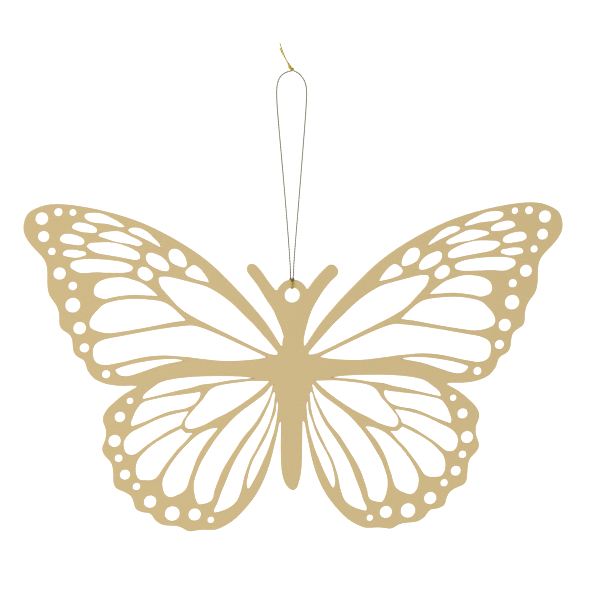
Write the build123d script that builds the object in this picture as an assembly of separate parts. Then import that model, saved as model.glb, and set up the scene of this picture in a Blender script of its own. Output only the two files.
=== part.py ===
from build123d import *
from math import acos, cos, radians, sin, tan
import os

# A butterfly pierced in one sheet of brass, hanging from a loop of thread.
# X runs to the right as seen from the front, Y to the back, Z up.
# The origin is where a hook bears, inside the top of the thread loop.

# Sheet metal plate
half_width = 90.0            # wing tip to the wings' own middle line
plate_thickness = 1.0
hang_lean = 1.3              # degrees that the wings lean when the plate hangs from its hole
hole_drop = 74.0             # hook's bearing point to the middle of the hanging hole

# Thread
thread_diameter = 0.40
thread_sides = 8             # flats of its section
thread_gap = 0.02            # air between the thread and the plate's faces
hole_gap = 0.16              # air between the thread and the top of the hole
edge_gap = 0.18              # air between the thread and the top edge of the eye
fold_radius = 0.40           # where the thread folds over an edge
fold_turn = 60.0             # degrees; a sharper bend is such a fold
bend_share = 0.45            # part of the shorter run that each other bend takes up
leg_spacing = 1.0            # middle to middle of the two legs above the eye
leg_spread = 0.1             # how much farther out each leg is at its top
leg_length = 2.8             # the stretch of both legs that twists
back_spacing = 0.84          # middle to middle where they reach the plate's back
under_spacing = 0.44         # the same where they pass through the hole
front_spacing = 0.64         # the same where they fold over the eye's top edge
bight_spacing = 1.9          # width of the bight round the legs
bend_rise = 2.0              # above the eye: where the legs start to run to its back
back_rise = 0.6              # above the eye: where they have got there
bight_side_rise = 0.42       # above the eye: the sides of the bight
bight_side_depth = 0.25      # behind the plate's middle: the sides of the bight
bight_drop = 0.12            # below the eye's top: its bar behind the legs
bight_depth = 1.16           # from the plate's middle back to that bar
joint_gap = 0.25             # air at each side of the place where the legs bend
twist_gap = 0.05             # air between the strands and the legs
knot_width = 1.5
knot_depth = 1.2
knot_height = 2.1
knot_offset = 0.1            # middle of the knot, from the hook's bearing point
knot_rise = 1.2
knot_tilt = 20.0             # degrees by which it follows the tails

# Hanging eye, in shares of half_width from the wings' middle line
eye_side_share = -0.0068
eye_up_share = 0.0053
eye_outer_share = 0.058
eye_hole_share = 0.028

# Wing outline, as (out, up) shares of half_width. A run ends where the next one starts.
forewing_edge_shares = [
    (0.045, -0.1835), (0.060, -0.160), (0.100, -0.100), (0.140, -0.0505), (0.185, 0.000),
    (0.240, 0.057), (0.300, 0.115), (0.360, 0.162), (0.420, 0.201), (0.500, 0.2455),
    (0.580, 0.2815), (0.660, 0.308), (0.740, 0.328), (0.800, 0.339), (0.850, 0.345),
    (0.890, 0.346), (0.925, 0.341), (0.960, 0.328), (0.983, 0.312), (0.995, 0.290),
    (1.000, 0.262), (0.998, 0.242), (0.987, 0.217), (0.965, 0.188), (0.940, 0.162),
    (0.925, 0.144), (0.915, 0.122), (0.9115, 0.095), (0.9115, 0.060), (0.909, 0.030),
    (0.902, 0.008), (0.889, -0.011), (0.876, -0.031), (0.868, -0.055), (0.866, -0.085),
    (0.863, -0.106), (0.855, -0.117), (0.840, -0.127), (0.826, -0.139), (0.819, -0.153),
    (0.816, -0.178), (0.812, -0.200), (0.803, -0.214), (0.787, -0.224), (0.775, -0.232),
    (0.768, -0.245), (0.761, -0.268), (0.750, -0.284), (0.735, -0.300), (0.715, -0.311),
    (0.690, -0.320), (0.660, -0.3255), (0.620, -0.3275), (0.585, -0.328),
]
hindwing_edge_shares = [
    (0.575, -0.331), (0.600, -0.344), (0.630, -0.3625), (0.660, -0.387), (0.683, -0.409),
    (0.697, -0.430), (0.7025, -0.450), (0.6995, -0.467), (0.6925, -0.485), (0.690, -0.505),
    (0.6935, -0.528), (0.701, -0.548), (0.7035, -0.562), (0.699, -0.579), (0.687, -0.595),
    (0.674, -0.609), (0.666, -0.626), (0.663, -0.645), (0.662, -0.672), (0.658, -0.698),
    (0.650, -0.709), (0.635, -0.717), (0.612, -0.7275), (0.597, -0.739), (0.589, -0.752),
    (0.583, -0.772), (0.577, -0.787), (0.562, -0.7965), (0.545, -0.8015), (0.528, -0.804),
    (0.516, -0.814), (0.505, -0.830), (0.494, -0.839), (0.480, -0.847), (0.455, -0.8515),
    (0.428, -0.8535), (0.409, -0.8585), (0.394, -0.867), (0.378, -0.8735), (0.355, -0.872),
    (0.330, -0.869), (0.300, -0.870), (0.277, -0.8685), (0.255, -0.860), (0.220, -0.840),
    (0.180, -0.803), (0.140, -0.754), (0.110, -0.702), (0.090, -0.653), (0.075, -0.603),
    (0.062, -0.545), (0.052, -0.497), (0.0465, -0.472),
]
wing_root_shares = [(0.0433, -0.4655)]
wing_axis_low_shares = [(0.0, -0.4655)]
wing_axis_high_shares = [(0.0, -0.1835)]

# Body outline with the two antennae, as (side, up) shares, side positive to the right.
# The antennae and the eye are not mirror images of each other.
left_antenna_shares = [
    (-0.0692, 0.0237), (-0.080, 0.0365), (-0.100, 0.0625), (-0.120, 0.0914), (-0.138, 0.1125),
    (-0.148, 0.120), (-0.159, 0.122), (-0.170, 0.119), (-0.1765, 0.109), (-0.1765, 0.098),
    (-0.171, 0.087), (-0.160, 0.0717), (-0.140, 0.0468), (-0.120, 0.0155), (-0.100, -0.016),
    (-0.082, -0.042), (-0.069, -0.066), (-0.0587, -0.091), (-0.0495, -0.111), (-0.042, -0.131),
]
body_side_shares = [
    (-0.036, -0.149), (-0.0395, -0.163), (-0.0405, -0.182), (-0.041, -0.250), (-0.041, -0.350),
    (-0.041, -0.450), (-0.0412, -0.520), (-0.0405, -0.585), (-0.0386, -0.624), (-0.0347, -0.658),
    (-0.029, -0.682), (-0.020, -0.7026), (-0.009, -0.716), (0.000, -0.722), (0.007, -0.724),
    (0.0166, -0.7197), (0.024, -0.711), (0.029, -0.696), (0.0345, -0.673), (0.0385, -0.638),
    (0.0397, -0.598), (0.0394, -0.520), (0.039, -0.450), (0.039, -0.350), (0.039, -0.250),
    (0.0392, -0.182), (0.039, -0.165),
]
right_antenna_shares = [
    (0.0395, -0.152), (0.045, -0.125), (0.0516, -0.099), (0.0608, -0.0675), (0.0726, -0.0386),
    (0.0857, -0.015), (0.100, 0.0087), (0.1225, 0.0402), (0.141, 0.0612), (0.1575, 0.077),
    (0.1625, 0.087), (0.161, 0.100), (0.152, 0.113), (0.138, 0.118), (0.124, 0.1135),
    (0.110, 0.100), (0.099, 0.090), (0.0857, 0.0743), (0.0726, 0.0586), (0.060, 0.0402),
]
antenna_notch_shares = [(0.0508, 0.0276)]

# Smooth openings of one wing, each a closed curve through (out, up) shares.
smooth_cell_shares = [
    # second, third and fourth cells at the forewing's tip
    [(0.822, 0.264), (0.815, 0.2725), (0.800, 0.278), (0.780, 0.2765), (0.760, 0.271),
     (0.740, 0.262), (0.731, 0.251), (0.7325, 0.2425), (0.742, 0.2395), (0.762, 0.2405),
     (0.788, 0.2435), (0.810, 0.251), (0.820, 0.257)],
    [(0.866, 0.217), (0.861, 0.229), (0.849, 0.236), (0.830, 0.236), (0.810, 0.232),
     (0.790, 0.224), (0.778, 0.213), (0.777, 0.203), (0.785, 0.1965), (0.810, 0.1955),
     (0.840, 0.200), (0.858, 0.206)],
    [(0.855, 0.163), (0.848, 0.174), (0.830, 0.178), (0.808, 0.177), (0.788, 0.173),
     (0.772, 0.168), (0.770, 0.161), (0.783, 0.153), (0.805, 0.148), (0.825, 0.150),
     (0.846, 0.1545)],
    # four longer cells behind them
    [(0.725, 0.232), (0.718, 0.2375), (0.700, 0.242), (0.670, 0.2455), (0.645, 0.2435),
     (0.620, 0.233), (0.590, 0.218), (0.571, 0.2075), (0.5636, 0.198), (0.570, 0.192),
     (0.600, 0.195), (0.640, 0.202), (0.673, 0.2095), (0.700, 0.219), (0.718, 0.225)],
    [(0.7666, 0.194), (0.760, 0.1995), (0.733, 0.2037), (0.700, 0.205), (0.670, 0.203),
     (0.640, 0.196), (0.610, 0.1845), (0.587, 0.172), (0.573, 0.158), (0.572, 0.146),
     (0.581, 0.1397), (0.605, 0.141), (0.640, 0.1486), (0.700, 0.159), (0.735, 0.167),
     (0.758, 0.180)],
    [(0.827, 0.121), (0.8235, 0.130), (0.812, 0.137), (0.795, 0.141), (0.747, 0.143),
     (0.700, 0.1407), (0.660, 0.136), (0.630, 0.130), (0.610, 0.122), (0.598, 0.111),
     (0.600, 0.102), (0.6127, 0.095), (0.630, 0.092), (0.665, 0.092), (0.700, 0.0925),
     (0.735, 0.0945), (0.778, 0.0913), (0.796, 0.094), (0.812, 0.102), (0.8235, 0.110)],
    # three round cells
    [(0.467, 0.158), (0.463, 0.171), (0.455, 0.178), (0.4447, 0.1796), (0.429, 0.175),
     (0.4145, 0.1617), (0.404, 0.1447), (0.399, 0.127), (0.401, 0.1145), (0.409, 0.1105),
     (0.4197, 0.112), (0.438, 0.119), (0.455, 0.129), (0.464, 0.143)],
    [(0.550, 0.150), (0.547, 0.159), (0.538, 0.165), (0.520, 0.1625), (0.497, 0.1525),
     (0.4814, 0.1407), (0.468, 0.1237), (0.4638, 0.108), (0.468, 0.0985), (0.480, 0.0965),
     (0.505, 0.104), (0.526, 0.1145), (0.542, 0.1276), (0.5484, 0.1394)],
    [(0.580, 0.096), (0.575, 0.107), (0.5615, 0.1137), (0.547, 0.1105), (0.534, 0.101),
     (0.5248, 0.0885), (0.523, 0.0765), (0.529, 0.068), (0.5458, 0.0614), (0.560, 0.0659),
     (0.573, 0.075), (0.5796, 0.0856)],
    # narrow slit between the hindwing's inner veins
    [(0.056, -0.391), (0.0593, -0.401), (0.0607, -0.423), (0.0657, -0.443), (0.0746, -0.465),
     (0.0824, -0.489), (0.093, -0.516), (0.1087, -0.547), (0.129, -0.583), (0.140, -0.6037),
     (0.150, -0.628), (0.158, -0.654), (0.1635, -0.682), (0.1645, -0.703), (0.159, -0.7165),
     (0.150, -0.706), (0.133, -0.674), (0.118, -0.643), (0.100, -0.600), (0.088, -0.572),
     (0.0777, -0.540), (0.069, -0.513), (0.0605, -0.475), (0.056, -0.444), (0.0533, -0.415),
     (0.0533, -0.399)],
]

# Pointed openings of one wing. Each run starts at a corner and ends at the next run's start.
pointed_cell_shares = [
    # first tip cell
    [[(0.778, 0.302), (0.773, 0.309), (0.763, 0.3125), (0.740, 0.3135), (0.720, 0.3115),
      (0.700, 0.305), (0.680, 0.295), (0.660, 0.2845), (0.642, 0.273)],
     [(0.629, 0.2605), (0.645, 0.260), (0.670, 0.2665), (0.700, 0.273), (0.740, 0.277),
      (0.758, 0.282), (0.772, 0.2915)]],
    # first of the longer cells
    [[(0.617, 0.250), (0.6075, 0.2565), (0.590, 0.2585), (0.572, 0.2555), (0.555, 0.2475),
      (0.539, 0.2365), (0.520, 0.217), (0.503, 0.200)],
     [(0.496, 0.185), (0.513, 0.194), (0.539, 0.2085), (0.560, 0.218), (0.581, 0.2285),
      (0.600, 0.236)]],
    # three cornered cell
    [[(0.4047, 0.094), (0.398, 0.1035), (0.388, 0.112), (0.380, 0.117), (0.3724, 0.1187),
      (0.362, 0.1145), (0.345, 0.100), (0.3317, 0.083), (0.321, 0.0665)],
     [(0.3165, 0.0535), (0.3317, 0.058), (0.358, 0.0635), (0.3764, 0.070), (0.3948, 0.078)]],
    # large cell of the forewing
    [[(0.5025, 0.069), (0.498, 0.0745), (0.489, 0.0767), (0.460, 0.075), (0.439, 0.070),
      (0.400, 0.060), (0.3606, 0.0496), (0.329, 0.040), (0.300, 0.0258), (0.2606, 0.000),
      (0.2186, -0.0345), (0.179, -0.074), (0.153, -0.0987), (0.119, -0.137), (0.080, -0.181),
      (0.064, -0.2005), (0.0585, -0.208)],
     [(0.059, -0.2165), (0.075, -0.216), (0.0956, -0.210), (0.119, -0.200), (0.161, -0.180),
      (0.2006, -0.160), (0.240, -0.1403), (0.2816, -0.120), (0.321, -0.100), (0.355, -0.083),
      (0.380, -0.0687), (0.4024, -0.055), (0.4287, -0.034), (0.460, 0.000), (0.4786, 0.0206),
      (0.491, 0.0355), (0.499, 0.052)]],
    # three long cells below it
    [[(0.504, 0.0035), (0.521, 0.0065), (0.5445, 0.0073), (0.570, 0.0095), (0.600, 0.010),
      (0.630, 0.0075), (0.660, 0.0035), (0.680, -0.001), (0.699, -0.005), (0.7144, -0.002),
      (0.7275, 0.003), (0.736, 0.0105), (0.740, 0.024), (0.7385, 0.0375), (0.7335, 0.0475),
      (0.7206, 0.0593), (0.700, 0.0685), (0.6786, 0.0732), (0.648, 0.0756), (0.621, 0.073),
      (0.600, 0.0667), (0.560, 0.0514), (0.539, 0.0365), (0.519, 0.020)]],
    [[(0.3995, -0.0865), (0.414, -0.0885), (0.434, -0.0905), (0.481, -0.099), (0.539, -0.110),
      (0.5996, -0.1207), (0.640, -0.127), (0.676, -0.1312), (0.700, -0.130), (0.718, -0.126),
      (0.738, -0.1185), (0.750, -0.1097), (0.755, -0.095), (0.752, -0.081), (0.744, -0.066),
      (0.732, -0.052), (0.720, -0.0396), (0.710, -0.0295), (0.6994, -0.023), (0.678, -0.0157),
      (0.639, -0.008), (0.600, -0.005), (0.5576, -0.006), (0.520, -0.0098), (0.4917, -0.0148),
      (0.4707, -0.0235), (0.449, -0.039), (0.421, -0.0647)]],
    [[(0.099, -0.226), (0.122, -0.2307), (0.161, -0.235), (0.200, -0.2375), (0.240, -0.2383),
      (0.2816, -0.2362), (0.320, -0.2315), (0.3447, -0.229), (0.380, -0.2235), (0.4234, -0.2197),
      (0.455, -0.2165), (0.500, -0.216), (0.544, -0.220), (0.5996, -0.2313), (0.634, -0.2395),
      (0.668, -0.246), (0.692, -0.2495), (0.712, -0.247), (0.728, -0.239), (0.7365, -0.227),
      (0.7405, -0.208), (0.7395, -0.187), (0.7345, -0.1755), (0.723, -0.165), (0.697, -0.1538),
      (0.660, -0.1464), (0.600, -0.1354), (0.539, -0.1245), (0.4707, -0.1138), (0.413, -0.107),
      (0.372, -0.1055), (0.345, -0.1125), (0.300, -0.130), (0.240, -0.157), (0.179, -0.1863),
      (0.140, -0.2045)]],
    # sliver cell over the forewing's lower edge
    [[(0.658, -0.2665), (0.6416, -0.2595), (0.620, -0.2525), (0.580, -0.243), (0.539, -0.2357),
      (0.500, -0.231), (0.460, -0.229), (0.4313, -0.230)],
     [(0.405, -0.235), (0.4287, -0.240), (0.460, -0.2455), (0.500, -0.2555), (0.539, -0.269),
      (0.5786, -0.2825), (0.600, -0.289), (0.620, -0.2915), (0.640, -0.2875), (0.651, -0.2785)]],
    # hindwing: narrow top cell
    [[(0.5555, -0.3775), (0.553, -0.365), (0.542, -0.352), (0.5186, -0.3337), (0.4976, -0.319),
      (0.460, -0.3067), (0.421, -0.3004), (0.379, -0.2965), (0.300, -0.2943), (0.240, -0.2948),
      (0.190, -0.297)],
     [(0.146, -0.3025), (0.1796, -0.306), (0.224, -0.3095), (0.261, -0.315), (0.300, -0.3215),
      (0.340, -0.326), (0.371, -0.335), (0.421, -0.3456), (0.480, -0.360), (0.521, -0.3695)]],
    # second cell
    [[(0.594, -0.479), (0.5975, -0.4675), (0.591, -0.445), (0.583, -0.425), (0.574, -0.410),
      (0.564, -0.397), (0.550, -0.3873), (0.5186, -0.379), (0.480, -0.3705), (0.440, -0.3655),
      (0.400, -0.360), (0.374, -0.357)],
     [(0.3445, -0.3515), (0.343, -0.367), (0.350, -0.381), (0.3585, -0.3925), (0.3725, -0.403),
      (0.385, -0.409), (0.4055, -0.4155), (0.440, -0.4209), (0.480, -0.4325), (0.521, -0.4505),
      (0.560, -0.4665), (0.580, -0.4735)]],
    # large cell of the hindwing
    [[(0.0855, -0.3145), (0.120, -0.314), (0.160, -0.3138), (0.2006, -0.318), (0.240, -0.323),
      (0.2705, -0.3285), (0.292, -0.3355), (0.308, -0.346), (0.320, -0.360), (0.332, -0.379),
      (0.353, -0.4023), (0.379, -0.433), (0.391, -0.4485), (0.398, -0.466), (0.3965, -0.480),
      (0.389, -0.4885), (0.377, -0.4905), (0.357, -0.4865), (0.337, -0.480), (0.3175, -0.4715),
      (0.290, -0.4553), (0.2597, -0.441), (0.220, -0.4194), (0.1796, -0.393), (0.140, -0.364),
      (0.108, -0.337)]],
    # cell outside it
    [[(0.384, -0.424), (0.390, -0.4345), (0.400, -0.4488), (0.407, -0.4606), (0.412, -0.473),
      (0.424, -0.481), (0.4435, -0.4895), (0.463, -0.4995), (0.480, -0.5105), (0.521, -0.537),
      (0.5606, -0.567), (0.574, -0.578), (0.585, -0.5835), (0.597, -0.5848), (0.609, -0.581),
      (0.617, -0.573), (0.622, -0.5588), (0.624, -0.5456), (0.622, -0.533), (0.616, -0.521),
      (0.607, -0.510), (0.5935, -0.499), (0.5606, -0.4826), (0.521, -0.4625), (0.480, -0.4455),
      (0.440, -0.4338), (0.410, -0.4275)]],
    # three cells along the hindwing's rim
    [[(0.368, -0.506), (0.385, -0.5237), (0.4013, -0.5433), (0.420, -0.561), (0.440, -0.586),
      (0.461, -0.6125), (0.4794, -0.6388), (0.4925, -0.6598), (0.502, -0.671), (0.5214, -0.680),
      (0.540, -0.6805), (0.5634, -0.6766), (0.572, -0.6665), (0.577, -0.653), (0.5785, -0.635),
      (0.575, -0.6145), (0.5675, -0.5975), (0.556, -0.584), (0.532, -0.560), (0.500, -0.536),
      (0.463, -0.5144)],
     [(0.413, -0.489), (0.403, -0.499), (0.3925, -0.5055), (0.380, -0.5057)]],
    [[(0.2745, -0.488), (0.303, -0.4905), (0.320, -0.4966), (0.340, -0.5063), (0.357, -0.5176),
      (0.380, -0.539), (0.403, -0.562), (0.4348, -0.6007), (0.4584, -0.636), (0.472, -0.663),
      (0.4785, -0.684), (0.4785, -0.703), (0.4735, -0.723), (0.463, -0.7385), (0.4466, -0.745),
      (0.432, -0.7407), (0.410, -0.731), (0.398, -0.722), (0.3885, -0.709), (0.379, -0.678),
      (0.369, -0.649), (0.355, -0.608), (0.335, -0.568), (0.3125, -0.534), (0.287, -0.5035)]],
    [[(0.0725, -0.326), (0.080, -0.3335), (0.098, -0.355), (0.140, -0.390), (0.1796, -0.4187),
      (0.2164, -0.450), (0.240, -0.475), (0.2637, -0.5026), (0.290, -0.538), (0.313, -0.575),
      (0.336, -0.6145), (0.352, -0.6545), (0.360, -0.681), (0.3625, -0.705), (0.360, -0.729),
      (0.3545, -0.752), (0.3465, -0.7675)],
     [(0.3395, -0.774), (0.325, -0.7715), (0.308, -0.767), (0.2965, -0.7595), (0.290, -0.747),
      (0.2865, -0.729), (0.2786, -0.7028), (0.260, -0.654), (0.231, -0.6017), (0.205, -0.561),
      (0.1796, -0.522), (0.140, -0.475), (0.119, -0.4415), (0.098, -0.402), (0.085, -0.373),
      (0.0775, -0.350)]],
    # long cell beside the abdomen
    [[(0.283, -0.8055), (0.2855, -0.796), (0.278, -0.778), (0.260, -0.729), (0.248, -0.700),
      (0.231, -0.6555), (0.205, -0.600), (0.1796, -0.5575), (0.140, -0.5005), (0.119, -0.469),
      (0.105, -0.4416), (0.093, -0.4153), (0.080, -0.382), (0.0735, -0.361), (0.0695, -0.3555),
      (0.0658, -0.360), (0.0656, -0.376), (0.068, -0.400), (0.0785, -0.4495), (0.0877, -0.478),
      (0.1034, -0.511), (0.119, -0.5425), (0.137, -0.5785), (0.150, -0.601), (0.161, -0.6285),
      (0.175, -0.6715), (0.185, -0.7186), (0.1935, -0.7455), (0.201, -0.761), (0.212, -0.774),
      (0.2355, -0.790), (0.258, -0.799)]],
]

# Round dots near one wing's outer edge, as (out, up, radius) shares.
dot_shares = [
    (0.933, 0.293, 0.0230), (0.8727, 0.3164, 0.0150), (0.8196, 0.3148, 0.0125),
    (0.9257, 0.2269, 0.0203), (0.8951, 0.172, 0.0137), (0.8661, 0.0906, 0.0226),
    (0.8175, 0.0443, 0.0157), (0.8167, -0.0268, 0.0272), (0.7908, -0.1118, 0.0232),
    (0.7725, -0.185, 0.0172), (0.6917, -0.2835, 0.0152),
    (0.6026, -0.3835, 0.0121), (0.639, -0.4427, 0.0192), (0.6578, -0.532, 0.0226),
    (0.6422, -0.5968, 0.0142), (0.618, -0.6585, 0.0187), (0.575, -0.7034, 0.0139),
    (0.5238, -0.7606, 0.0230), (0.441, -0.8063, 0.0273), (0.3578, -0.811, 0.0228),
    (0.2975, -0.832, 0.0120),
]

eye_outer_radius = eye_outer_share * half_width
eye_hole_radius = eye_hole_share * half_width
thread_radius = thread_diameter / 2
half_legs = leg_spacing / 2
half_back = back_spacing / 2
half_under = under_spacing / 2
half_front = front_spacing / 2
half_bight = bight_spacing / 2
face_offset = plate_thickness / 2 + thread_gap + thread_radius
eye_top = -hole_drop + eye_outer_radius
under_bridge = -hole_drop + eye_hole_radius - hole_gap - thread_radius
over_eye = eye_top + edge_gap + thread_radius
bend_height = eye_top + bend_rise
twist_height = bend_height + leg_length
strand_end = twist_height + twist_gap
strand_end_side = half_legs + leg_spread

# The routes, as (side, height) in mm from the hook's bearing point, chosen by eye
# along the slack loop. Both strands and both tails start inside the knot.
left_strand_route = [
    (-0.30, 0.55), (-3.2, -0.15), (-4.85, -2.9), (-4.75, -9.0), (-3.9, -20.0),
    (-2.4, -38.0), (-1.2, -54.0), (-strand_end_side, strand_end),
]
right_strand_route = [
    (0.6, 0.6), (3.1, -0.5), (5.3, -4.0), (5.2, -10.0), (4.3, -21.0),
    (2.8, -38.5), (1.35, -54.5), (strand_end_side, strand_end),
]
long_tail_route = [(-0.4, 1.9), (-1.45, 4.2), (-2.75, 7.2), (-3.35, 10.0)]
short_tail_route = [(-0.52, 1.60), (-1.8, 4.2), (-3.05, 6.5), (-3.8, 8.2)]
long_tail_depth = -0.15
short_tail_depth = 0.28


def plate_point(side, up):
    """A point of the plate's mid plane: shares from the hole, leant, then hung below the hook."""
    along = (side - eye_side_share) * half_width
    rise = (up - eye_up_share) * half_width
    lean = radians(hang_lean)
    x = along * cos(lean) + rise * sin(lean)
    z = rise * cos(lean) - along * sin(lean)
    return Vector(x, 0, z - hole_drop)


def joined_wire(runs, side):
    """One closed wire. A run is a curve through its points to the next run's first point."""
    edges = []
    for number, run in enumerate(runs):
        ending = runs[(number + 1) % len(runs)][0]
        points = [plate_point(side * out, up) for out, up in run + [ending]]
        edges.append(Line(*points) if len(points) == 2 else Spline(*points))
    return Wire(edges)


def smooth_wire(cell, side):
    """One closed wire without corners."""
    points = [plate_point(side * out, up) for out, up in cell]
    return Wire([Spline(*points, periodic=True)])


def round_wire(side_share, up_share, radius_share):
    """One round opening."""
    plane = Plane(plate_point(side_share, up_share), x_dir=(1, 0, 0), z_dir=(0, -1, 0))
    return Wire([plane * Edge.make_circle(radius_share * half_width)])


def front_face(wire):
    """The flat face inside a wire, turned so that it looks to the front."""
    face = Face(wire)
    return -face if face.normal_at().Y > 0 else face


def plate_outline():
    """The outer edge: both wings, the body with its antennae, and the round eye, as one face."""
    wing_runs = [
        forewing_edge_shares, hindwing_edge_shares, wing_root_shares,
        wing_axis_low_shares, wing_axis_high_shares,
    ]
    body_runs = [
        left_antenna_shares, body_side_shares, right_antenna_shares, antenna_notch_shares,
    ]
    pieces = [front_face(joined_wire(wing_runs, side)) for side in (-1, 1)]
    pieces.append(front_face(joined_wire(body_runs, 1)))
    pieces.append(front_face(round_wire(eye_side_share, eye_up_share, eye_outer_share)))
    whole = pieces[0].fuse(*pieces[1:]).clean()
    return whole.faces().sort_by(SortBy.AREA)[-1]


def plate_openings():
    """Every opening of both wings, and the hanging hole."""
    wires = []
    for side in (-1, 1):
        wires += [smooth_wire(cell, side) for cell in smooth_cell_shares]
        wires += [joined_wire(cell, side) for cell in pointed_cell_shares]
        wires += [round_wire(side * out, up, radius) for out, up, radius in dot_shares]
    wires.append(round_wire(eye_side_share, eye_up_share, eye_hole_share))
    return wires


def straight_walled(wire, reach):
    """A solid between two copies of a closed wire, one in front and one behind."""
    front = wire.moved(Location((0, -reach, 0)))
    back = wire.moved(Location((0, reach, 0)))
    return Solid.make_loft([front, back], ruled=True)


def butterfly_plate():
    """The sheet, as thick on either side of the mid plane, with its openings cut through."""
    half_thickness = plate_thickness / 2
    blank = straight_walled(plate_outline().outer_wire(), half_thickness)
    return blank.cut(*[straight_walled(wire, half_thickness) for wire in plate_openings()])


def turn_between(before, corner, after):
    """Angle in radians by which a route turns at a corner."""
    into = corner - before
    out = after - corner
    return acos(max(-1.0, min(1.0, into.dot(out) / (into.length * out.length))))


def thread_tube(name, points):
    """A rod of thread along straight runs joined by arcs, wide ones except at a sharp fold."""
    radii = []
    for before, corner, after in zip(points, points[1:], points[2:]):
        shorter = min((corner - before).length, (after - corner).length)
        turn = turn_between(before, corner, after)
        widest = bend_share * shorter / tan(turn / 2)
        radii.append(min(widest, fold_radius) if turn > radians(fold_turn) else widest)
    print(name, "bend radii", [round(radius, 2) for radius in radii])
    path = FilletPolyline(*points, radius=radii) if radii else Line(*points)
    section = Plane(path @ 0, z_dir=path % 0) * RegularPolygon(thread_radius, thread_sides)
    tube = sweep(section, path=path)
    expected = section.area * path.length
    print(name, "length", round(path.length, 2), "volume over section x length",
          round(tube.volume / expected, 4))
    return tube


def flat_points(route, depth=0.0):
    """A route at one depth."""
    return [Vector(side, depth, height) for side, height in route]


def leg_points(side):
    """One leg's last straight stretch above the hitch."""
    return [
        Vector(side * strand_end_side, 0, twist_height),
        Vector(side * half_legs, 0, bend_height + joint_gap),
    ]


def fold_point(side):
    """Where one wrap turns from the plate's front over the eye's top edge."""
    return Vector(side * half_front, -face_offset, over_eye)


def bight_side_point(side):
    """Where the bight passes over the eye's top edge, outside the legs."""
    return Vector(side * half_bight, bight_side_depth, eye_top + bight_side_rise)


def wrap_points(side):
    """One leg's way down behind the eye, through the hole, up its front and over the edge."""
    bend = Vector(side * half_legs, 0, bend_height)
    back = Vector(side * half_back, face_offset, eye_top + back_rise)
    return [
        bend + (back - bend).normalized() * joint_gap,
        back,
        Vector(side * half_under, face_offset, under_bridge),
        Vector(side * half_under, -face_offset, under_bridge),
        fold_point(side),
        (fold_point(side) + bight_side_point(side)) / 2,
    ]


def bight_points():
    """The thread's middle: over the edge outside both legs and across behind them."""
    left = (fold_point(-1) + bight_side_point(-1)) / 2
    right = (fold_point(1) + bight_side_point(1)) / 2
    return [
        left,
        bight_side_point(-1),
        Vector(-half_bight, bight_depth, eye_top - bight_drop),
        Vector(half_bight, bight_depth, eye_top - bight_drop),
        bight_side_point(1),
        right,
    ]


def overhand_knot():
    """The knot's outside: a ball, drawn out along the way that the tails leave."""
    drawn = (1, knot_depth / knot_width, knot_height / knot_width)
    ball = scale(Sphere(knot_width / 2), drawn)
    return Pos(knot_offset, 0, knot_rise) * Rot(0, -knot_tilt, 0) * ball


def save(name, shape):
    """Write one node."""
    export_step(shape, os.path.join("parts", name + ".step"))


os.makedirs("parts", exist_ok=True)
plate = butterfly_plate()
save("butterfly_plate", plate)
print("plate", len(plate.solids()), "solid,", len(plate.faces()), "faces, valid", plate.is_valid)
save("left_strand", thread_tube("left_strand", flat_points(left_strand_route)))
save("right_strand", thread_tube("right_strand", flat_points(right_strand_route)))
save("long_tail", thread_tube("long_tail", flat_points(long_tail_route, long_tail_depth)))
save("short_tail", thread_tube("short_tail", flat_points(short_tail_route, short_tail_depth)))
save("overhand_knot", overhand_knot())
legs = [thread_tube("hitch_legs", leg_points(side)) for side in (-1, 1)]
save("hitch_legs", Compound(children=legs))
wraps = [thread_tube("hitch_wraps", wrap_points(side)) for side in (-1, 1)]
save("hitch_wraps", Compound(children=wraps))
save("hitch_bight", thread_tube("hitch_bight", bight_points()))
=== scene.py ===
from math import cos, pi, radians, sin

import bpy
import numpy as np
from mathutils import Matrix, Vector


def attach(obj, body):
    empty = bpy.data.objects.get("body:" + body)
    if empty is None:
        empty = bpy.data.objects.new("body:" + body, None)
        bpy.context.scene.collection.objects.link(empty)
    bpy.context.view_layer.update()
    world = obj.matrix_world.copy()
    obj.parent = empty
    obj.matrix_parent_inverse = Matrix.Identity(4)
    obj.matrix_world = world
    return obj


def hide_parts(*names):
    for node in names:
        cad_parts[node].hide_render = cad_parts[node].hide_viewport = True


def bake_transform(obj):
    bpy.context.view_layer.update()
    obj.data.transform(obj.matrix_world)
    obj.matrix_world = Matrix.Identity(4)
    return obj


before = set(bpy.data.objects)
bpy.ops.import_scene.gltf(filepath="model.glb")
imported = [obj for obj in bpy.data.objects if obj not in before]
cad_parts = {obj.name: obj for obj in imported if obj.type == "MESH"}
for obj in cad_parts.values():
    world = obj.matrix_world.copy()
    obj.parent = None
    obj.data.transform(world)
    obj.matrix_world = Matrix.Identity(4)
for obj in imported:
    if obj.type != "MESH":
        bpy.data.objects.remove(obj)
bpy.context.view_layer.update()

# A butterfly pierced in brass sheet, hanging from a knotted loop of gold thread.
# Metres, X to the right, Y to the back, Z up, origin where a hook bears in the loop.

bpy.context.scene.view_settings.view_transform = "Standard"

mm = 0.001

# Camera, at the photograph's distance and viewing angle. Angles are in degrees, and the sensor
# and the focal length in millimetres.
camera_azimuth = -8.560
camera_elevation = 8.753
camera_roll = -0.371
camera_distance = 1.6654
camera_target = (0.00261, 0.0, -0.07573)
camera_near = 0.01
camera_far = 50.0
sensor_width = 36.0
focal_length = 301.94

# Plate
edge_round = 0.12 * mm
rim_segments = 3
rim_angle = radians(50.0)
flat_angle = radians(0.5)
weld_distance = 0.001 * mm

# Rolled grain of the sheet
line_stretch = (0.04, 1.0, 1.0)
line_fineness = 5200.0
line_detail = 3.0
cloud_fineness = 55.0
cloud_detail = 4.0
grain_strength = 0.25
grain_height = 0.004 * mm

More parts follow.
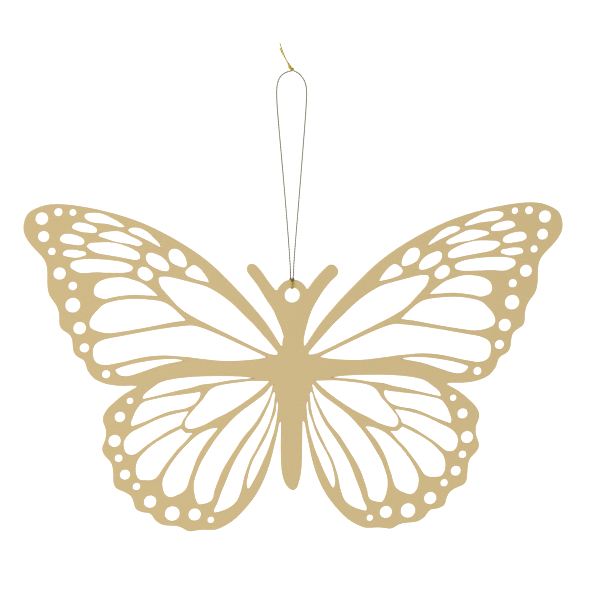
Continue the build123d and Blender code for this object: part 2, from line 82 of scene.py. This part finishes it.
# Thread. ply_offset is from its middle to the middle of each ply, and tip_share is what the
# last ring at a cut end keeps of the full radius.
thread_diameter = 0.44 * mm
plies = 2
ply_offset = 0.070 * mm
ply_lay = 1.9 * mm
route_order = 3
route_steps = 24
ring_spacing = 0.085 * mm
ring_sides = 24
tail_end_taper = 0.25 * mm
tip_share = 0.02

# Gold foil round the plies, from the groove between them to their crowns; the dark groove tone is
# # painted shade in the crease between the plies. The two levels are those of the cosine at which
# # each tone is full.
groove_painted_shade = (0.060, 0.036, 0.002, 1.0)
crown_gold = (0.95, 0.74, 0.080, 1.0)
groove_level = -0.9
crown_level = 0.5
foil_tint = (1.0, 0.86, 0.35, 1.0)
filament_scale = (3.0, 34.0, 1.0)
filament_slant = radians(12.0)
filament_detail = 2.0
filament_shade = 0.4
filament_strength = 0.6
filament_height = 0.02 * mm

# The loop is darkened towards dull_gold along its strands, up to the reach above and below its
# middle
dull_gold = (0.07, 0.08, 0.01, 1.0)
dull_amount = 0.85
dull_middle = -34.35 * mm
dull_reach = 35.45 * mm
dull_fade = 0.8 * mm

# The thread's control points, from one cut end to the other, in metres
long_tail_points = [
    (-0.00358, -0.00015, 0.0100), (-0.00282, -0.00015, 0.0072), (-0.00146, -0.00015, 0.0042),
]
left_strand_points = [
    (-0.0006, 0.0, 0.00045), (-0.0033, 0.0, -0.00075), (-0.00465, 0.0, -0.0038),
    (-0.00475, 0.0, -0.0090), (-0.0039, 0.0, -0.0200), (-0.0024, 0.0, -0.0380),
    (-0.0012, 0.0, -0.0540), (-0.0006, 0.0, -0.06393),
]
# The right leg's way from the end of its strand: down behind the eye, through the hole, up the
# front, over the eye's top edge and into the bight at the back
hitch_points = [
    (0.00056, 0.0, -0.0653), (0.00056, 0.00002, -0.06710), (0.00042, 0.00068, -0.06822),
    (0.00028, 0.00072, -0.06940), (0.00025, 0.00072, -0.07130), (0.00022, 0.00072, -0.07184),
    (0.00022, 0.00000, -0.07184), (0.00022, -0.00072, -0.07184), (0.00022, -0.00072, -0.07130),
    (0.00023, -0.00072, -0.06990), (0.00025, -0.00072, -0.06900), (0.00027, -0.00072, -0.06844),
    (0.00036, -0.00045, -0.06840), (0.00056, 0.00010, -0.06843), (0.00064, 0.00055, -0.06862),
    (0.00064, 0.00112, -0.06896), (0.00052, 0.00118, -0.06900), (0.00030, 0.00118, -0.06900),
]
right_strand_points = [
    (0.0006, 0.0, -0.06393), (0.00135, 0.0, -0.0545), (0.0028, 0.0, -0.0385),
    (0.0043, 0.0, -0.0210), (0.0052, 0.0, -0.0100), (0.0053, 0.0, -0.0040),
    (0.0031, 0.0, -0.0005),
]
short_tail_points = [
    (-0.0015, 0.00028, 0.0042), (-0.00275, 0.00028, 0.0065), (-0.0036, 0.00028, 0.0082),
]

# The overhand knot, from the strands' side to the tails' side, as (side, front, along) from
# its middle, with the along direction tilted to the left
knot_middle = (0.0001, 0.0, 0.00145)
knot_tilt = radians(2.0)
knot_points = [
    (0.00030, 0.00024, -0.00085), (0.00014, -0.00008, -0.00028), (-0.00024, -0.00026, 0.00048),
    (-0.00050, -0.00028, 0.00080), (-0.00068, -0.00012, 0.00062), (-0.00054, 0.00016, 0.00020),
    (0.00000, 0.00036, 0.00000), (0.00054, 0.00016, -0.00020), (0.00068, -0.00012, -0.00062),
    (0.00050, -0.00028, -0.00080), (0.00024, -0.00026, -0.00048), (-0.00014, -0.00008, 0.00028),
    (-0.00050, 0.00024, 0.00090),
]
knot_pair_shift = (0.00015, 0.00007, 0.00013)

# Where the thread is cut into its pieces: heights, and how far to the side the wraps end
knot_top = 0.0022
knot_bottom = 0.00045
strand_end = -0.06395
leg_end = -0.06800
wrap_end_side = 0.00036
wrap_end_height = -0.0690

# Which of a stretch's two ends, first and last, are cut ends of the thread
joined = (False, False)
cut_first = (True, False)
cut_last = (False, True)

# Studio
floor_height = -0.30
floor_size = 12.0
floor_tone = (0.85, 0.85, 0.85, 1.0)
floor_lift = 0.75
backdrop_light = 0.42
backdrop_white = 1.0
white = (1.0, 1.0, 1.0, 1.0)
key_place = (-1.2, -0.8, 1.1)
key_target = (0.0, 0.0, -0.09)
key_size = 0.6
key_power = 29.0


def add_mesh(name, vertices, faces, uv=None):
    """A smooth mesh object at the origin, from an array of points, a list of faces and, where
    it is given, an array of the points' places on the map."""
    mesh = bpy.data.meshes.new(name)
    mesh.from_pydata(vertices.tolist(), [], faces)
    if uv is not None:
        layer = mesh.uv_layers.new(name="along")
        corners = np.empty(len(mesh.loops), dtype=np.int32)
        mesh.loops.foreach_get("vertex_index", corners)
        layer.data.foreach_set("uv", uv[corners].astype(np.float32).ravel())
    mesh.polygons.foreach_set("use_smooth", np.ones(len(mesh.polygons), dtype=bool))
    mesh.update()
    piece = bpy.data.objects.new(name, mesh)
    bpy.context.scene.collection.objects.link(piece)
    return piece


# Camera

def aim_camera():
    """Looks at the target from the given azimuth and elevation, then rolls about the view."""
    azimuth = radians(camera_azimuth)
    elevation = radians(camera_elevation)
    roll = radians(camera_roll)
    back = Vector((sin(azimuth) * cos(elevation), -cos(azimuth) * cos(elevation), sin(elevation)))
    level = Vector((cos(azimuth), sin(azimuth), 0.0))
    rise = back.cross(level)
    right = level * cos(roll) + rise * sin(roll)
    up = rise * cos(roll) - level * sin(roll)
    place = Vector(camera_target) + back * camera_distance
    data = bpy.data.cameras.new("camera")
    data.sensor_width = sensor_width
    data.lens = focal_length
    data.clip_start = camera_near
    data.clip_end = camera_far
    camera = bpy.data.objects.new("camera", data)
    bpy.context.scene.collection.objects.link(camera)
    turned = Matrix((right, up, back)).transposed().to_4x4()
    camera.matrix_world = Matrix.Translation(place) @ turned
    bpy.context.scene.camera = camera


aim_camera()


# Materials

def new_material(name):
    """An empty node material and its Principled BSDF."""
    material = bpy.data.materials.new(name)
    material.use_nodes = True
    return material, material.node_tree.nodes["Principled BSDF"]


def add_node(material, kind, **settings):
    """One node with its named settings."""
    node = material.node_tree.nodes.new(kind)
    for setting, value in settings.items():
        setattr(node, setting, value)
    return node


def link(material, source, target):
    """Joins two sockets."""
    material.node_tree.links.new(source, target)


def sheet_grain_group():
    """Fine lines that a rolled sheet keeps along X, with a slow cloudiness; both run 0 to 1."""
    group = bpy.data.node_groups.new("rolled sheet grain", "ShaderNodeTree")
    group.interface.new_socket("Vector", in_out="INPUT", socket_type="NodeSocketVector")
    group.interface.new_socket("Lines", in_out="OUTPUT", socket_type="NodeSocketFloat")
    group.interface.new_socket("Clouds", in_out="OUTPUT", socket_type="NodeSocketFloat")
    nodes = group.nodes
    entry = nodes.new("NodeGroupInput")
    leave = nodes.new("NodeGroupOutput")
    stretch = nodes.new("ShaderNodeMapping")
    stretch.inputs["Scale"].default_value = line_stretch
    lines = nodes.new("ShaderNodeTexNoise")
    lines.inputs["Scale"].default_value = line_fineness
    lines.inputs["Detail"].default_value = line_detail
    clouds = nodes.new("ShaderNodeTexNoise")
    clouds.inputs["Scale"].default_value = cloud_fineness
    clouds.inputs["Detail"].default_value = cloud_detail
    group.links.new(entry.outputs["Vector"], stretch.inputs["Vector"])
    group.links.new(stretch.outputs["Vector"], lines.inputs["Vector"])
    group.links.new(entry.outputs["Vector"], clouds.inputs["Vector"])
    group.links.new(lines.outputs["Fac"], leave.inputs["Lines"])
    group.links.new(clouds.outputs["Fac"], leave.inputs["Clouds"])
    return group


grain_group = sheet_grain_group()


def brass_material(name, dark, light, rough_low, rough_high, metal):
    """Lacquered brass: clouds blend two tones, lines vary the roughness and the height."""
    material, shader = new_material(name)
    place = add_node(material, "ShaderNodeTexCoord")
    grain = add_node(material, "ShaderNodeGroup", node_tree=grain_group)
    link(material, place.outputs["Object"], grain.inputs["Vector"])
    tone = add_node(material, "ShaderNodeMix", data_type="RGBA")
    tone.inputs["A"].default_value = (*dark, 1.0)
    tone.inputs["B"].default_value = (*light, 1.0)
    link(material, grain.outputs["Clouds"], tone.inputs["Factor"])
    rough = add_node(material, "ShaderNodeMapRange")
    rough.inputs["To Min"].default_value = rough_low
    rough.inputs["To Max"].default_value = rough_high
    link(material, grain.outputs["Lines"], rough.inputs["Value"])
    bump = add_node(material, "ShaderNodeBump")
    bump.inputs["Strength"].default_value = grain_strength
    bump.inputs["Distance"].default_value = grain_height
    link(material, grain.outputs["Lines"], bump.inputs["Height"])
    link(material, tone.outputs["Result"], shader.inputs["Base Color"])
    link(material, rough.outputs["Result"], shader.inputs["Roughness"])
    link(material, bump.outputs["Normal"], shader.inputs["Normal"])
    shader.inputs["Metallic"].default_value = metal
    return material


plate_face = brass_material(
    "satin brass face", dark=(0.530, 0.406, 0.197), light=(0.550, 0.421, 0.205),
    rough_low=0.44, rough_high=0.54, metal=0.5)
# The rounded rim takes a darker, rougher and less metallic brass than the face; its darker tone is
# painted shade for the dark lines along the plate's edges.
plate_rim_painted_shade = brass_material(
    "brass edge with painted shade", dark=(0.46, 0.345, 0.160), light=(0.53, 0.398, 0.187),
    rough_low=0.60, rough_high=0.70, metal=0.1)


def foil_with_painted_groove_shade(material, place):
    """Painted shade, dark in the groove between the plies, against the foil's gold on their
    crowns: the blend follows the cosine of the angle round the thread times the number of plies."""
    parts = add_node(material, "ShaderNodeSeparateXYZ")
    link(material, place, parts.inputs["Vector"])
    turns = add_node(material, "ShaderNodeMath", operation="MULTIPLY")
    turns.inputs[1].default_value = 2 * plies * pi
    link(material, parts.outputs["Y"], turns.inputs[0])
    wave = add_node(material, "ShaderNodeMath", operation="COSINE")
    link(material, turns.outputs["Value"], wave.inputs[0])
    crown = add_node(material, "ShaderNodeMapRange")
    crown.inputs["From Min"].default_value = groove_level
    crown.inputs["From Max"].default_value = crown_level
    link(material, wave.outputs["Value"], crown.inputs["Value"])
    tone = add_node(material, "ShaderNodeMix", data_type="RGBA")
    tone.inputs["A"].default_value = groove_painted_shade
    tone.inputs["B"].default_value = crown_gold
    link(material, crown.outputs["Result"], tone.inputs["Factor"])
    return tone.outputs["Result"]


def strand_darkening_share(material):
    """How much the thread is darkened: a smooth step down from full inside the loop's reach to
    none outside it, by the distance in height from the loop's middle."""
    spot = add_node(material, "ShaderNodeTexCoord")
    height = add_node(material, "ShaderNodeSeparateXYZ")
    link(material, spot.outputs["Object"], height.inputs["Vector"])
    from_middle = add_node(material, "ShaderNodeMath", operation="SUBTRACT")
    from_middle.inputs[1].default_value = dull_middle
    link(material, height.outputs["Z"], from_middle.inputs[0])
    away = add_node(material, "ShaderNodeMath", operation="ABSOLUTE")
    link(material, from_middle.outputs["Value"], away.inputs[0])
    dull = add_node(material, "ShaderNodeMapRange", interpolation_type="SMOOTHSTEP")
    dull.inputs["From Min"].default_value = dull_reach - dull_fade
    dull.inputs["From Max"].default_value = dull_reach
    dull.inputs["To Min"].default_value = dull_amount
    dull.inputs["To Max"].default_value = 0.0
    link(material, away.outputs["Value"], dull.inputs["Value"])
    return dull.outputs["Result"]


def filament_pattern(material, place):
    """Fine slanting filaments: noise on the thread's map, drawn out along it and turned."""
    stretch = add_node(material, "ShaderNodeMapping")
    stretch.inputs["Scale"].default_value = filament_scale
    stretch.inputs["Rotation"].default_value = (0.0, 0.0, filament_slant)
    link(material, place, stretch.inputs["Vector"])
    filaments = add_node(material, "ShaderNodeTexNoise")
    filaments.inputs["Scale"].default_value = 1.0
    filaments.inputs["Detail"].default_value = filament_detail
    link(material, stretch.outputs["Vector"], filaments.inputs["Vector"])
    return filaments.outputs["Fac"]


def thread_material():
    """Gold foil thread of two plies with fine filaments, darker between the knot and the hitch.
    The map's first coordinate counts lays, its second goes once round."""
    material, shader = new_material("gold thread")
    place = add_node(material, "ShaderNodeUVMap", uv_map="along").outputs["UV"]
    darkened = add_node(material, "ShaderNodeMix", data_type="RGBA", blend_type="MULTIPLY")
    darkened.inputs["B"].default_value = dull_gold
    link(material, strand_darkening_share(material), darkened.inputs["Factor"])
    link(material, foil_with_painted_groove_shade(material, place), darkened.inputs["A"])
    filaments = filament_pattern(material, place)
    shade = add_node(material, "ShaderNodeMix", data_type="RGBA", blend_type="MULTIPLY")
    shade.inputs["Factor"].default_value = filament_shade
    link(material, darkened.outputs["Result"], shade.inputs["A"])
    link(material, filaments, shade.inputs["B"])
    bump = add_node(material, "ShaderNodeBump")
    bump.inputs["Strength"].default_value = filament_strength
    bump.inputs["Distance"].default_value = filament_height
    link(material, filaments, bump.inputs["Height"])
    link(material, shade.outputs["Result"], shader.inputs["Base Color"])
    link(material, bump.outputs["Normal"], shader.inputs["Normal"])
    shader.inputs["Metallic"].default_value = 0.3
    shader.inputs["Roughness"].default_value = 0.5
    shader.inputs["Specular IOR Level"].default_value = 0.15
    shader.inputs["Specular Tint"].default_value = foil_tint
    return material


gold_thread = thread_material()


# Plate

def finish_plate():
    """Keeps the plate's own mesh, joins its flat triangles and rounds its sharp edges. The
    rounding takes the second material, a darker brass that paints shade along the edges."""
    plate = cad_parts["butterfly_plate"]
    plate.data.materials.clear()
    plate.data.materials.append(plate_face)
    plate.data.materials.append(plate_rim_painted_shade)
    weld = plate.modifiers.new("weld", "WELD")
    weld.merge_threshold = weld_distance
    flat = plate.modifiers.new("flat", "DECIMATE")
    flat.decimate_type = "DISSOLVE"
    flat.angle_limit = flat_angle
    rim = plate.modifiers.new("rim", "BEVEL")
    rim.width = edge_round
    rim.segments = rim_segments
    rim.limit_method = "ANGLE"
    rim.angle_limit = rim_angle
    rim.use_clamp_overlap = False
    rim.harden_normals = True
    rim.material = 1


finish_plate()


# Thread

def knot_strand(pair_side):
    """One strand's points through the knot: tilted about Y, moved to the knot's middle, and
    shifted to its side of the pair, which is -1 or 1."""
    points = np.array(knot_points) + pair_side * np.array(knot_pair_shift)
    side, front, along = points.T
    x = side * cos(knot_tilt) - along * sin(knot_tilt)
    z = side * sin(knot_tilt) + along * cos(knot_tilt)
    return np.stack([x, -front, z], axis=1) + np.array(knot_middle)


def whole_thread_points():
    """The thread's control points from the long tail's end, round the loop, to the short tail's.
    The left half of the hitch is the right half mirrored."""
    right_hitch = np.array(hitch_points)
    left_hitch = right_hitch * np.array([-1.0, 1.0, 1.0])
    return np.concatenate([
        np.array(long_tail_points),
        knot_strand(-1)[::-1],
        np.array(left_strand_points),
        left_hitch,
        right_hitch[::-1],
        np.array(right_strand_points),
        knot_strand(1),
        np.array(short_tail_points),
    ])


def smooth_line(points):
    """The line of one open NURBS spline with these control points, as an array of points."""
    curve = bpy.data.curves.new("route", "CURVE")
    curve.dimensions = "3D"
    spline = curve.splines.new("NURBS")
    spline.points.add(len(points) - 1)
    spline.points.foreach_set("co", np.column_stack([points, np.ones(len(points))]).ravel())
    spline.order_u = route_order
    spline.use_endpoint_u = True
    spline.resolution_u = route_steps
    carrier = bpy.data.objects.new("route", curve)
    bpy.context.scene.collection.objects.link(carrier)
    line = bpy.data.meshes.new_from_object(carrier)
    places = np.empty(3 * len(line.vertices))
    line.vertices.foreach_get("co", places)
    bpy.data.objects.remove(carrier)
    bpy.data.curves.remove(curve)
    bpy.data.meshes.remove(line)
    return places.reshape(-1, 3)


def even_line(line):
    """The same line with its points a ring's spacing apart, and their distances along it."""
    steps = np.linalg.norm(np.diff(line, axis=0), axis=1)
    keep = np.concatenate([[True], steps > 0])
    line = line[keep]
    distance = np.concatenate([[0.0], np.cumsum(steps[steps > 0])])
    even = np.linspace(0.0, distance[-1], int(distance[-1] / ring_spacing))
    return np.stack([np.interp(even, distance, line[:, axis]) for axis in range(3)], axis=1), even


def carried_frames(line):
    """Two directions across the line at each point, carried along it without twist: each is
    the last one with its part along the new direction taken away."""
    along = np.gradient(line, axis=0)
    along /= np.linalg.norm(along, axis=1)[:, None]
    across = np.empty_like(line)
    carried = np.cross(along[0], (0.0, 1.0, 0.0))
    for number, direction in enumerate(along):
        carried = carried - direction * np.dot(carried, direction)
        carried /= np.linalg.norm(carried)
        across[number] = carried
    return across, np.cross(along, across)


def ply_skin(line, distance, across, beside, cut_ends):
    """The skin of two plies laid round each other. Its radius, at an angle from the line
    between the plies' middles, is the offset times the size of the cosine, plus the root of
    the ply's radius squared less the square of the offset times the sine. That line turns once
    per lay. Towards a cut end the rings shrink as the root of their distance from it."""
    ply_radius = thread_diameter / 2 - ply_offset
    angle = np.linspace(0.0, 2 * pi, ring_sides, endpoint=False)
    radius = ply_offset * np.abs(np.cos(angle))
    radius = radius + np.sqrt(ply_radius ** 2 - (ply_offset * np.sin(angle)) ** 2)
    turn = angle[None, :] + 2 * pi * distance[:, None] / ply_lay
    from_end = np.minimum(
        distance - distance[0] if cut_ends[0] else np.inf,
        distance[-1] - distance if cut_ends[1] else np.inf,
    )
    taper = np.sqrt(np.clip(from_end / tail_end_taper, tip_share ** 2, 1.0)) * np.ones(len(line))
    reach = radius[None, :] * taper[:, None]
    skin = line[:, None, :]
    skin = skin + (reach * np.cos(turn))[:, :, None] * across[:, None, :]
    skin = skin + (reach * np.sin(turn))[:, :, None] * beside[:, None, :]
    rings = len(line)
    uv = np.stack(np.broadcast_arrays(
        distance[:, None] / ply_lay, angle[None, :] / (2 * pi)), axis=2)
    ring, step = np.meshgrid(np.arange(rings - 1), np.arange(ring_sides), indexing="ij")
    after = (step + 1) % ring_sides
    base = ring * ring_sides
    quads = np.stack([base + step, base + after, base + ring_sides + after,
                      base + ring_sides + step], axis=2).reshape(-1, 4)
    caps = [list(range(ring_sides))[::-1], list(range((rings - 1) * ring_sides, rings * ring_sides))]
    return skin.reshape(-1, 3), quads.tolist() + caps, uv.reshape(-1, 2)


def first_after(start, condition):
    """Number of the first point after start where the condition holds."""
    return start + int(np.argmax(condition[start:]))


def cuts_from_tail(line):
    """Numbers of the points at which one half of the thread is cut, from its cut end: where it
    enters and leaves the knot, meets its leg and its wrap, and turns over the eye's top edge."""
    side, depth, height = line.T
    cuts = [0]
    for level in (knot_top, knot_bottom, strand_end, leg_end):
        cuts.append(first_after(cuts[-1], height < level))
    on_front = (depth < 0) & (height > wrap_end_height)
    cuts.append(first_after(cuts[-1], on_front & (np.abs(side) > wrap_end_side)))
    return cuts


thread_line, thread_distance = even_line(smooth_line(whole_thread_points()))
thread_across, thread_beside = carried_frames(thread_line)
left_cuts = cuts_from_tail(thread_line)
right_cuts = [len(thread_line) - 1 - cut for cut in cuts_from_tail(thread_line[::-1])]


def thread_piece(name, stretches, nodes):
    """One piece of thread from its stretches of the line, in place of CAD nodes."""
    parts = []
    for start, end, cut_ends in stretches:
        part = slice(start, end + 1)
        parts.append(ply_skin(thread_line[part], thread_distance[part], thread_across[part],
                              thread_beside[part], cut_ends))
    counts = np.cumsum([0] + [len(part[0]) for part in parts])
    faces = [[int(corner) + int(count) for corner in face]
             for part, count in zip(parts, counts) for face in part[1]]
    vertices = np.concatenate([part[0] for part in parts])
    uv = np.concatenate([part[2] for part in parts])
    piece = add_mesh(name, vertices, faces, uv)
    piece.data.materials.append(gold_thread)
    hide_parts(*nodes)
    return piece


long_tail = thread_piece(
    "long_tail_thread", [(left_cuts[0], left_cuts[1], cut_first)], ["long_tail"])
short_tail = thread_piece(
    "short_tail_thread", [(right_cuts[1], right_cuts[0], cut_last)], ["short_tail"])
knot = thread_piece(
    "overhand_knot_thread",
    [(left_cuts[1], left_cuts[2], joined), (right_cuts[2], right_cuts[1], joined)],
    ["overhand_knot"])
left_strand = thread_piece(
    "left_strand_thread", [(left_cuts[2], left_cuts[3], joined)], ["left_strand"])
right_strand = thread_piece(
    "right_strand_thread", [(right_cuts[3], right_cuts[2], joined)], ["right_strand"])
legs = thread_piece(
    "hitch_legs_thread",
    [(left_cuts[3], left_cuts[4], joined), (right_cuts[4], right_cuts[3], joined)],
    ["hitch_legs"])
wraps = thread_piece(
    "hitch_wraps_thread",
    [(left_cuts[4], left_cuts[5], joined), (right_cuts[5], right_cuts[4], joined)],
    ["hitch_wraps"])
bight = thread_piece(
    "hitch_bight_thread", [(left_cuts[5], right_cuts[5], joined)], ["hitch_bight"])

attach(knot, "loop")
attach(long_tail, "loop")
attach(short_tail, "loop")
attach(wraps, "hitch")
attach(bight, "hitch")
# The strands wind round each other when the butterfly turns, and the legs bend when it tilts.
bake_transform(left_strand)
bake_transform(right_strand)
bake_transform(legs)


# Studio

def seen_ray(tree):
    """1 where the camera sees it, straight or in metal or glass."""
    path = tree.nodes.new("ShaderNodeLightPath")
    first = tree.nodes.new("ShaderNodeMath")
    first.operation = "MAXIMUM"
    second = tree.nodes.new("ShaderNodeMath")
    second.operation = "MAXIMUM"
    tree.links.new(path.outputs["Is Camera Ray"], first.inputs[0])
    tree.links.new(path.outputs["Is Glossy Ray"], first.inputs[1])
    tree.links.new(first.outputs["Value"], second.inputs[0])
    tree.links.new(path.outputs["Is Transmission Ray"], second.inputs[1])
    return second.outputs["Value"]


def add_floor():
    """A large pale floor under the hanging ornament: lit as paper, and lifted to white where
    it is seen, so that only a shadow stays darker."""
    half = floor_size / 2
    corners = np.array([(-half, -half, floor_height), (half, -half, floor_height),
                        (half, half, floor_height), (-half, half, floor_height)])
    floor = add_mesh("floor", corners, [[0, 1, 2, 3]])
    material, shader = new_material("white paper")
    shader.inputs["Base Color"].default_value = floor_tone
    shader.inputs["Roughness"].default_value = 1.0
    shader.inputs["Emission Color"].default_value = white
    lift = add_node(material, "ShaderNodeMath", operation="MULTIPLY")
    lift.inputs[1].default_value = floor_lift
    link(material, seen_ray(material.node_tree), lift.inputs[0])
    link(material, lift.outputs["Value"], shader.inputs["Emission Strength"])
    floor.data.materials.append(material)


def light_world():
    """An even pale surround, white where it is seen."""
    world = bpy.data.worlds.new("studio")
    bpy.context.scene.world = world
    world.use_nodes = True
    tree = world.node_tree
    shade = tree.nodes["Background"]
    shade.inputs["Color"].default_value = white
    mix = tree.nodes.new("ShaderNodeMapRange")
    mix.inputs["To Min"].default_value = backdrop_light
    mix.inputs["To Max"].default_value = backdrop_white
    tree.links.new(seen_ray(tree), mix.inputs["Value"])
    tree.links.new(mix.outputs["Result"], shade.inputs["Strength"])


def add_key_lamp():
    """A square soft lamp turned to its target."""
    data = bpy.data.lights.new("key", "AREA")
    data.energy = key_power
    data.size = key_size
    lamp = bpy.data.objects.new("key", data)
    bpy.context.scene.collection.objects.link(lamp)
    aim = Vector(key_target) - Vector(key_place)
    lamp.location = key_place
    lamp.rotation_euler = aim.to_track_quat("-Z", "Y").to_euler()


add_floor()
light_world()
add_key_lamp()
